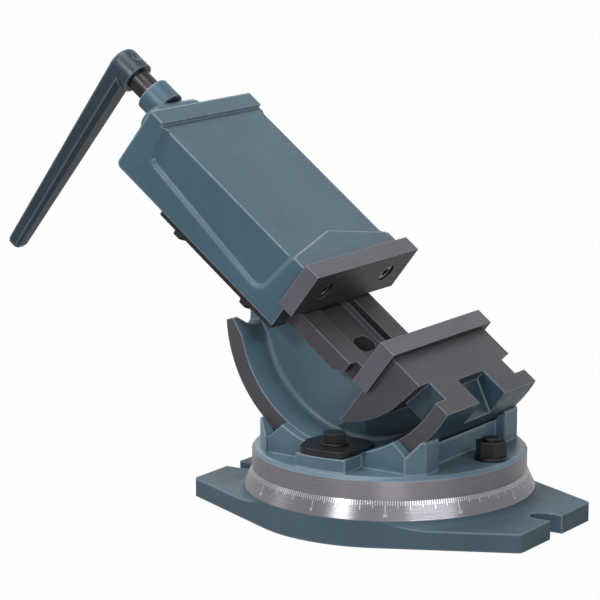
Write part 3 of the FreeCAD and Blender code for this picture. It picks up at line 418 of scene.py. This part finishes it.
def dress(node, finishes, sort=None, in_level=True, width=0.0):
    """A copy of a solid. sort(middle, normal) numbers each face's finish; width bevels it."""
    source = nodes[node]
    mesh, normals = merged_copy(source.data, node + "_skin")
    if width:
        work = bmesh.new()
        work.from_mesh(mesh)
        bmesh.ops.dissolve_limit(work, angle_limit=FLAT, verts=work.verts, edges=work.edges)
        work.to_mesh(mesh)
        work.free()
        mesh.shade_smooth()
    else:
        mesh.normals_split_custom_set(normals.tolist())
    for finish in finishes:
        mesh.materials.append(finish)
    index = np.zeros(len(mesh.polygons), dtype=np.int32)
    if sort:
        index = sort(*face_facts(mesh, in_level)).astype(np.int32)
    mesh.polygons.foreach_set("material_index", index)
    piece = bpy.data.objects.new(node + "_skin", mesh)
    bpy.context.scene.collection.objects.link(piece)
    if width:
        bevel = piece.modifiers.new("rounds", "BEVEL")
        bevel.width = width * MM
        bevel.segments = 2
        bevel.limit_method = "ANGLE"
        bevel.angle_limit = SHARP
        bevel.harden_normals = True
    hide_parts(node)
    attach(piece, body_of(source)[0])
    return piece


print("dress() ready")

# %% [markdown]
# ## The base
# One painted casting. The cone from 18 to 30 mm above the table is turned and graduated, the
# seat on top is turned too, and the underside is planed.

# %% Base casting
SEAT_RADIUS, RING_FLOOR = 91.5, 10.9  # mm


def base_finishes(middle, normal):
    """The cone lies outside the seat's radius, the seat and its T-slot ring inside it."""
    x, y, z = middle.T
    radius = np.hypot(x, y)
    cone = (z > CONE_LOW / MM + 0.05) & (z < CONE_TOP / MM) & (radius > SEAT_RADIUS)
    top = (z >= RING_FLOOR) & (radius < SEAT_RADIUS)
    bottom = (z < 0.01) & (normal[:, 2] < -0.9)
    return np.select([cone, top, bottom], [1, 3, 2], 0)


base = dress("base_casting", [base_paint, scale_steel, underside, flange_steel],
             base_finishes, in_level=False)
print(base.name, len(base.data.polygons), "faces")

# %% [markdown]
# ## The swivel
# The flange's rim is turned bright and meets the cone below. Above the chamfer everything is
# painted: the cradle's cheeks, the horns and the bosses. The saddle that the rocker lies in is
# bored bare.

# %% Swivel casting
RIM_RADIUS, RIM_TOP = 91.0, 42.6  # mm, just inside the turned rim and just under its chamfer
SADDLE_RADIUS, SADDLE_HALF = 92.3, 58.4  # mm


def swivel_finishes(middle, normal):
    """The rim and the seat are turned, and the saddle is where the rocker's radius is met."""
    x, y, z = middle.T
    rim = (np.hypot(x, y) > RIM_RADIUS) & (z < RIM_TOP) & (np.abs(normal[:, 2]) < 0.3)
    low = z < CONE_TOP / MM + 0.1
    from_axis = np.hypot(x, z - CENTRE / MM)
    saddle = (np.abs(from_axis - SADDLE_RADIUS) < 0.6) & (np.abs(y) < SADDLE_HALF)
    return np.select([rim, low, saddle], [1, 1, 2], 0)


# painted light: the swivel takes the lighter copy of the enamel
swivel = dress("swivel_casting", [swivel_lit_paint, flange_steel, milled], swivel_finishes,
               in_level=False)
print(swivel.name, len(swivel.data.polygons), "faces")

# %% [markdown]
# ## The tilting body
# The rocker is painted on its outside, its inside and its web. The outside takes a deeper copy
# of the enamel, painted shade, and the inside and the web take the swivel's lighter copy,
# painted light. Its two side faces are milled, because they run between the cheeks. The ways,
# the channel and the whole block of the fixed jaw are milled as well, and the hole down
# through the bed is left as cast.

# %% Tilting body
SIDE_FACE, BED_HALF, CHANNEL_HALF, BLOCK_ARM = 57.6, 42.3, 21.2, 30.0  # mm from the middle
BLOCK_FRONT, BED_END, CHANNEL_END, SEAT_BACK, BLOCK_BACK = 30.0, 35.9, 36.5, 42.0, 66.0  # mm along
BED_LOW, CHANNEL_TOP, BLOCK_LOW = -37.0, -25.5, -52.0  # mm up from the rocker's axis
HOLE_PLACE, HOLE_RADIUS, HOLE_TOP, HOLE_LOW = -1.5, 11.0, -26.0, -49.0  # mm
BLOCK_RADIUS, INNER_RADIUS = 66.5, 91.0  # mm, round the back of the block and under the skin


def rocker_finishes(middle, normal):
    """Each zone is a box or a ring in the level frame. The first zone that holds a face wins."""
    u, y, w = middle.T
    across, from_axis = np.abs(y), np.hypot(u, w)
    side = (across > SIDE_FACE) & (np.abs(normal[:, 1]) > 0.9)
    deck = (w > DECK - 0.4) & (normal[:, 2] > 0.9)
    bed = (w > BED_LOW) & (u < BED_END) & (across < BED_HALF) & (normal[:, 2] > -0.5)
    block = (u > BLOCK_FRONT) & (u < BLOCK_BACK) & (w > BLOCK_LOW) & (from_axis < BLOCK_RADIUS)
    block &= across > BLOCK_ARM
    block |= (u > BLOCK_FRONT) & (u < SEAT_BACK) & (w > BED_LOW)
    hole = (np.hypot(u - HOLE_PLACE, y) < HOLE_RADIUS) & (w < HOLE_TOP) & (w > HOLE_LOW)
    channel = (across < CHANNEL_HALF) & (w < CHANNEL_TOP) & (w > BED_LOW) & (u < CHANNEL_END)
    # painted light: the inside and the web take the swivel's lighter enamel
    inside = (across < SIDE_FACE - 0.1) & (from_axis < INNER_RADIUS) & (u < BLOCK_FRONT)
    bare = side | deck | bed | block | channel
    return np.select([hole, bare, inside], [2, 1, 3], 0)


rocker = dress("tilting_body", [rocker_shaded_paint, milled, cored, swivel_lit_paint], rocker_finishes)
print(rocker.name, len(rocker.data.polygons), "faces")

# %% [markdown]
# ## The movable jaw
# A long hollow casting, painted all over except for the front seat of its plate and the
# surfaces that slide on the ways.

# %% Movable jaw
SLIDE_HEIGHT, SEAT_DEPTH = -25.0, 13.0  # mm


def jaw_finishes(middle, normal):
    """Bare are the seat behind the plate, and what lies on or beside the ways."""
    u, y, w = middle.T
    seat = (normal[:, 0] > 0.9) & (u > JAW_FACE - SEAT_DEPTH)
    slide = (np.abs(w - SLIDE_HEIGHT) < 0.2) & (normal[:, 2] < -0.9)
    flank = (np.abs(np.abs(y) - BED_HALF) < 0.2) & (np.abs(normal[:, 1]) > 0.9)
    return np.where(seat | slide | flank, 1, 0)


jaw = dress("movable_jaw", [paint, milled], jaw_finishes)
print(jaw.name, len(jaw.data.polygons), "faces")

# %% [markdown]
# ## Surfaces from a grid
# A new piece is a grid of points worked out by a formula. Two helpers turn the grid into a
# mesh: one numbers the quads between neighbouring points, the other makes the object.

# %% Grid helpers
def grid_faces(rows, columns, wrap):
    """Quads between neighbouring points of a grid, as an array of four corner numbers."""
    i, j = np.meshgrid(np.arange(rows - 1), np.arange(columns - (not wrap)), indexing="ij")
    k = (j + 1) % columns
    quads = np.stack([i * columns + j, i * columns + k, (i + 1) * columns + k,
                      (i + 1) * columns + j], -1)
    return quads.reshape(-1, 4)


def piece_from(name, points, faces, finish):
    """A mesh object from a point array and a list of faces."""
    mesh = bpy.data.meshes.new(name)
    mesh.from_pydata(points.reshape(-1, 3).tolist(), [], [tuple(f) for f in faces])
    mesh.materials.append(finish)
    mesh.polygons.foreach_set("use_smooth", [True] * len(mesh.polygons))
    mesh.update()
    piece = bpy.data.objects.new(name, mesh)
    bpy.context.scene.collection.objects.link(piece)
    return piece


print("grid helpers ready")

# %% [markdown]
# ## The ledge round the side panels
# Each side of the jaw has a shallow panel inside a raised border. The mould gives the step a
# wide, soft round that shines along its whole length. It is a profile carried along a path:
# the path is the panel's outline in the side plane, and across it the height falls from the
# border to the panel as half a cosine wave.

# %% Ledge strips
PANEL_DEPTH, LEDGE_WIDTH = 2.0, 4.2  # mm
PANEL_FACE, LIFT, SKIRT = 56.02, 0.02, 2.5  # mm: the panel's side, and the strip's overlaps
JAW_LENGTH, REAR_STRIP, BORDER = 168.0, 12.5, 3.0  # mm
REAR, PAD_EDGE = -(JAW_LENGTH - REAR_STRIP - BORDER), -23.5
BEND_RADIUS = 6.0  # mm
ledge_corners = np.array([[REAR, DECK - 2.5], [REAR + 1.2, DECK - 25], [REAR + 5.5, DECK - 29.5],
                          [PAD_EDGE - 12, DECK - 39], [PAD_EDGE - 5, DECK - 35],
                          [PAD_EDGE, DECK - 2.5]])


def rounded_path(corners, radius, per_corner=9):
    """Straight runs joined by curves: each corner becomes a quadratic blend of its neighbours."""
    path = [corners[:1]]
    share = np.linspace(0, 1, per_corner)[:, None]
    for before, corner, after in zip(corners[:-2], corners[1:-1], corners[2:]):
        back_length = np.linalg.norm(before - corner)
        on_length = np.linalg.norm(after - corner)
        start = corner + (before - corner) * min(radius / back_length, 0.48)
        stop = corner + (after - corner) * min(radius / on_length, 0.48)
        path.append((1 - share) ** 2 * start + 2 * share * (1 - share) * corner + share ** 2 * stop)
    path.append(corners[-1:])
    return np.concatenate(path)


def ledge_strip(side):
    """Points (path, across). At d inwards the height is depth * (1 + cos(pi d / width)) / 2."""
    path = rounded_path(ledge_corners, BEND_RADIUS)
    ahead = np.gradient(path, axis=0)
    ahead /= np.linalg.norm(ahead, axis=1, keepdims=True)
    inward = np.stack([-ahead[:, 1], ahead[:, 0]], -1)
    d = np.concatenate([[-SKIRT], np.linspace(0, LEDGE_WIDTH, 9)])
    height = PANEL_DEPTH * (1 + np.cos(np.pi * np.clip(d, 0, None) / LEDGE_WIDTH)) / 2
    plane = path[:, None, :] + inward[:, None, :] * (d[None, :, None] - LIFT)
    y = side * (PANEL_FACE + np.broadcast_to(height, plane.shape[:2]))
    points = np.stack([plane[..., 0] + JAW_FACE, y, plane[..., 1]], -1)
    faces = grid_faces(len(path), len(d), False)
    if side > 0:
        faces = faces[:, ::-1]
    return tilted(points * MM), faces


for side, where in ((-1, "near"), (1, "far")):
    strip_points, strip_faces = ledge_strip(side)
    strip = piece_from("panel_ledge_" + where, strip_points, strip_faces, paint)
    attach(strip, "jaw")
    print(strip.name, len(strip.data.polygons), "faces")

# %% [markdown]
# ## Plates, crank and small pieces
# The plates are ground, and their edges get a painted highlight as well as bright broken
# metal. The crank is the same enamel, a shade deeper. Bolts, nuts, washers, clamps and keepers
# are blackened, and their corners are painted lighter, as bare metal and as a painted highlight.

# %% Plates and hardware
SCREW_SPREAD, SCREW_DROP, BORE_RADIUS = 38.0, -2.5, 6.9  # mm


def plate_finishes(middle, normal):
    """Counterbores are painted near black and the gripping faces a deeper grey, both as shade; the
    rest is ground.
    """
    _, y, w = middle.T
    # painted shade in the counterbores, and on the gripping faces that face away from the lamps
    shaded_bore = np.hypot(np.abs(y) - SCREW_SPREAD, w - SCREW_DROP) < BORE_RADIUS
    return np.select([shaded_bore, np.abs(normal[:, 0]) > 0.9], [1, 2], 0)


for name in ("fixed_jaw_plate", "movable_jaw_plate"):
    dress(name, [ground, bore_shade, shaded_plate_face], plate_finishes, width=0.5)
for name in ("fixed_plate_screw_near", "fixed_plate_screw_far",
             "movable_plate_screw_near", "movable_plate_screw_far"):
    dress(name, [bright], width=0.3)
for name in ("crank_handle", "handle_set_screw"):
    dress(name, [crank_paint])
for name in ("keeper_near", "keeper_far", "thrust_retainer", "feed_nut"):
    dress(name, [screw_steel])
black_names = [n for n in nodes if n.startswith((
    "keeper_bolt", "clamp_plate", "clamp_washer", "clamp_bolt", "swivel_washer", "swivel_bolt",
    "swivel_nut", "retainer_screw", "nut_screw"))]
for name in black_names:
    dress(name, [black], in_level=False, width=0.35)
print(len(black_names), "blackened pieces")

# %% [markdown]
# ## The feed screw
# The screw is one turned bar: a trapezoidal thread in the hollow of the jaw, a thrust collar,
# a bearing journal and a square for the crank. Its whole surface is a radius that depends on
# the place along the axis and the angle round it. On the thread the radius rises and falls
# with the angle minus the place divided by the lead, which is what makes a helix, and on the
# square it is the half side divided by the larger of cosine and sine.

# %% Feed screw surface
LEAD, CREST_RADIUS, ROOT_RADIUS, BLANK_RADIUS = 4.0, 8.0, 6.0, 6.2  # mm, of the thread
CREST_HALF, FLANK_PART, RUN_OUT = 0.12, 0.16, 3.0  # two shares of the lead, and mm at each end
BAR_START, THREAD_END, COLLAR_FRONT, COLLAR_BACK = 27, 165, 161, 166  # mm behind the jaw's face
SQUARE_START, BAR_END = 218, 235  # mm behind the jaw's face
COLLAR_RADIUS, JOURNAL_RADIUS, SQUARE_HALF, SQUARE_CORNER = 13.0, 8.5, 6.0, 7.9  # mm
SHOULDER, ROUND_COUNT = 0.01, 64  # mm between the two rows of a step, and points round the bar


def bar_radius(v, turn):
    """Radius in mm at the place v behind the jaw's face and the angle turn, as arrays."""
    phase = np.mod(turn / (2 * np.pi) - v / LEAD, 1.0)
    flank = np.clip((np.abs(phase - 0.5) - CREST_HALF) / FLANK_PART, 0, 1)
    thread = CREST_RADIUS - (CREST_RADIUS - ROOT_RADIUS) * flank
    ends = np.clip((v - BAR_START) / RUN_OUT, 0, 1) * np.clip((THREAD_END - v) / RUN_OUT, 0, 1)
    radius = BLANK_RADIUS + (thread - BLANK_RADIUS) * ends
    radius = np.where((v >= COLLAR_FRONT) & (v < COLLAR_BACK), COLLAR_RADIUS, radius)
    radius = np.where(v >= COLLAR_BACK, JOURNAL_RADIUS, radius)
    widest = np.maximum(np.abs(np.cos(turn)), np.abs(np.sin(turn)))
    return np.where(v > SQUARE_START, np.minimum(SQUARE_HALF / widest, SQUARE_CORNER), radius)


v_line = np.concatenate([
    np.arange(BAR_START, COLLAR_FRONT, LEAD / 10),
    [COLLAR_FRONT - SHOULDER, COLLAR_FRONT, 162, 164, COLLAR_BACK - SHOULDER, COLLAR_BACK],
    [167, 201, 202, 204, 206, 208, 210, 212, 214, 216],
    [SQUARE_START - SHOULDER, SQUARE_START + SHOULDER, 222, 228, 234, BAR_END]])
turns = np.linspace(0, 2 * np.pi, ROUND_COUNT, endpoint=False) + np.pi / ROUND_COUNT
v_grid, turn_grid = np.meshgrid(v_line, turns, indexing="ij")
reach = bar_radius(v_grid, turn_grid)
bar_points = tilted(np.stack([JAW_FACE - v_grid, reach * np.cos(turn_grid),
                              SCREW_LINE + reach * np.sin(turn_grid)], -1) * MM)

count = len(turns)
screw_faces = grid_faces(len(v_line), count, True).tolist()
screw_faces += [list(range(count))[::-1], [(len(v_line) - 1) * count + k for k in range(count)]]
screw = piece_from("feed_screw_bar", bar_points, screw_faces, screw_steel)
screw.data.set_sharp_from_angle(angle=math.radians(38))
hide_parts("feed_screw")
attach(screw, "screw")
print(screw.name, len(screw.data.polygons), "faces")

# %% [markdown]
# ## Numbers on the scale
# Each thirtieth degree has a stamped number, 3.2 mm high, centred under its line. The numbers
# read 0 at the near and the far side and 90 over the two ears. Text is laid out flat, made a
# mesh, and then wrapped: across becomes an angle round the axis and up becomes a slide along
# the slope of the cone.

# %% Stamped numbers
CONE_LOW_RADIUS, CONE_TOP_RADIUS = 97.5 * MM, 92 * MM
NUMBER_SIZE, NUMBER_HEIGHT, PROUD, BOLDER = 3.2 * MM, 21.2 * MM, 0.03 * MM, 0.02 * MM
slope = (CONE_TOP_RADIUS - CONE_LOW_RADIUS) / (CONE_TOP - CONE_LOW)


def wrapped_text(words, degrees):
    """A flat point (a, b) goes to the angle a / radius and the height b * cosine of the slope."""
    curve = bpy.data.curves.new("number", "FONT")
    curve.body = words
    curve.size = NUMBER_SIZE
    curve.align_x = "CENTER"
    curve.align_y = "CENTER"
    curve.extrude = PROUD
    curve.offset = BOLDER
    flat = bpy.data.objects.new("number", curve)
    bpy.context.scene.collection.objects.link(flat)
    bpy.context.view_layer.update()
    mesh = bpy.data.meshes.new_from_object(flat)
    bpy.data.objects.remove(flat)
    points = np.empty(len(mesh.vertices) * 3)
    mesh.vertices.foreach_get("co", points)
    a, b, out = points.reshape(-1, 3).T
    z = NUMBER_HEIGHT + b * math.cos(math.atan(slope))
    radius = CONE_LOW_RADIUS + slope * (z - CONE_LOW) + out + PROUD
    turn = math.radians(degrees) + a / radius
    wrapped = np.stack([radius * np.cos(turn), radius * np.sin(turn), z], -1)
    mesh.vertices.foreach_set("co", wrapped.ravel())
    return mesh


stamp = hardware("stamped_number", (232, 232, 236), (210, 210, 216), 0.45, 0.2)
joined = bmesh.new()
for degrees in range(0, 360, 30):
    reading = abs(degrees % 180 - 90)
    joined.from_mesh(wrapped_text(str(reading), degrees))
numbers_mesh = bpy.data.meshes.new("scale_numbers")
joined.to_mesh(numbers_mesh)
joined.free()
numbers_mesh.materials.append(stamp)
numbers = bpy.data.objects.new("scale_numbers", numbers_mesh)
bpy.context.scene.collection.objects.link(numbers)
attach(numbers, "base")
print(numbers.name, len(numbers_mesh.vertices), "points")

# %% [markdown]
# ## Floor and light
# The vise stands on a pale floor in front of a white ground. A wide lamp hangs above it, two
# smaller ones draw the streaks on the turned band, and weak ones fill the front, the left and
# the back. The floor shows nearly white to the camera and still keeps a soft shadow. In
# reflections it is greyer, as a lit table is.

# %% Floor
FLOOR_SIDE, SEEN_GLOW, MIRRORED_GLOW = 6.0, 0.985, 0.35


def pale_floor():
    """Grey paint under the lamps, mixed with a white glow that only two kinds of ray see."""
    mesh = bpy.data.meshes.new("floor")
    s = FLOOR_SIDE
    mesh.from_pydata([(-s, -s, 0), (s, -s, 0), (s, s, 0), (-s, s, 0)], [], [(0, 1, 2, 3)])
    f = Finish("pale_floor", 0.0, 0.9)
    grain = f.noise(40, 2)
    f.colour(f.mix(f.band(grain, 0.2, 0.8), (0.38, 0.38, 0.38, 1), (0.42, 0.42, 0.42, 1)))
    glow = f.add("Emission", {"Color": (1, 1, 1, 1), "Strength": 1.0})
    rays = f.add("LightPath")
    direct = f.math("MULTIPLY", rays.outputs["Is Camera Ray"], SEEN_GLOW)
    mirrored = f.math("MULTIPLY", rays.outputs["Is Glossy Ray"], MIRRORED_GLOW)
    blend = f.add("MixShader", {0: f.math("MAXIMUM", direct, mirrored)})
    f.tree.links.new(f.shader.outputs[0], blend.inputs[1])
    f.tree.links.new(glow.outputs[0], blend.inputs[2])
    out = next(n for n in f.tree.nodes if n.type == "OUTPUT_MATERIAL")
    f.tree.links.new(blend.outputs[0], out.inputs[0])
    mesh.materials.append(f.material)
    floor = bpy.data.objects.new("floor", mesh)
    bpy.context.scene.collection.objects.link(floor)
    return floor


floor = pale_floor()
print(floor.name)

# %% World
FILL_LEVEL, WHITE_LEVEL = 0.075, 1.0
world = bpy.data.worlds.new("studio")
bpy.context.scene.world = world
world.use_nodes = True
tree = world.node_tree
white_ground = tree.nodes["Background"]
white_ground.inputs["Color"].default_value = (1, 1, 1, 1)
path = tree.nodes.new("ShaderNodeLightPath")
seen = path.outputs["Is Camera Ray"]
for ray in ("Is Transmission Ray", "Is Glossy Ray"):
    either = tree.nodes.new("ShaderNodeMath")
    either.operation = "MAXIMUM"
    tree.links.new(seen, either.inputs[0])
    tree.links.new(path.outputs[ray], either.inputs[1])
    seen = either.outputs[0]
level_of = tree.nodes.new("ShaderNodeMapRange")
tree.links.new(seen, level_of.inputs["Value"])
level_of.inputs["To Min"].default_value = FILL_LEVEL
level_of.inputs["To Max"].default_value = WHITE_LEVEL
tree.links.new(level_of.outputs[0], white_ground.inputs["Strength"])
print("world", world.name)

# %% Lamps
MID_VISE = (0, 0, 0.12)


def toward(azimuth, elevation, distance):
    """The place at a distance from the vise in a direction given in degrees."""
    a, e = math.radians(azimuth), math.radians(elevation)
    return (distance * math.cos(a) * math.cos(e), distance * math.sin(a) * math.cos(e),
            distance * math.sin(e))


def soft_box(name, place, aim, width, height, power):
    """A rectangular lamp turned so that it looks from its place at the aim."""
    lamp = bpy.data.lights.new(name, "AREA")
    lamp.shape = "RECTANGLE"
    lamp.size, lamp.size_y = width, height
    lamp.energy = power
    holder = bpy.data.objects.new(name, lamp)
    bpy.context.scene.collection.objects.link(holder)
    away = np.array(place) - np.array(aim)
    away = away / np.linalg.norm(away)
    across = np.cross((0, 0, 1), away)
    across = across / np.linalg.norm(across)
    rise = np.cross(away, across)
    matrix = np.eye(4)
    matrix[:3, 0], matrix[:3, 1], matrix[:3, 2], matrix[:3, 3] = across, rise, away, place
    holder.matrix_world = Matrix(matrix.tolist())


soft_box("right_strip", toward(-21, 35, 1.9), MID_VISE, 1.2, 0.16, 11)
soft_box("left_strip", toward(-99, 35, 1.9), MID_VISE, 0.36, 0.34, 11)
soft_box("front", toward(-56, 8, 1.9), MID_VISE, 0.7, 0.3, 7)
soft_box("above", (-0.35, -0.3, 1.8), (0, 0, 0.15), 1.0, 0.9, 22.5)
soft_box("far_left", toward(-160, 35, 1.8), MID_VISE, 0.4, 0.9, 4)
soft_box("behind", toward(140, 30, 1.9), MID_VISE, 1.3, 0.7, 4)
print("lights set")

# %% [markdown]
# ## Camera
# The vise was photographed from its right-hand front with a long lens, a little above it.

# %% Camera
AZIMUTH, ELEVATION = math.radians(33.435), math.radians(11.359)
PICTURE, FOCAL, CENTRE_ACROSS, CENTRE_UP = 600, 2855.984, 297.46, 300.408  # pixels
CAMERA_PLACE = np.array([970.365, -1581.439, 514.630]) * MM
back = np.array([math.sin(AZIMUTH) * math.cos(ELEVATION),
                 -math.cos(AZIMUTH) * math.cos(ELEVATION), math.sin(ELEVATION)])
right = np.array([math.cos(AZIMUTH), math.sin(AZIMUTH), 0])
upward = np.cross(back, right)
lens = bpy.data.cameras.new("camera")
lens.sensor_width = 36
lens.lens = lens.sensor_width * FOCAL / PICTURE
lens.shift_x = (PICTURE / 2 - CENTRE_ACROSS) / PICTURE
lens.shift_y = (CENTRE_UP - PICTURE / 2) / PICTURE
lens.clip_start, lens.clip_end = 0.05, 40
camera = bpy.data.objects.new("camera", lens)
bpy.context.scene.collection.objects.link(camera)
pose = np.eye(4)
pose[:3, 0], pose[:3, 1], pose[:3, 2] = right, upward, back
pose[:3, 3] = CAMERA_PLACE
camera.matrix_world = Matrix(pose.tolist())
bpy.context.scene.camera = camera
bpy.context.scene.view_settings.view_transform = "Standard"
print("camera at", CAMERA_PLACE.round(3))

# %% Update the scene
bpy.context.view_layer.update()
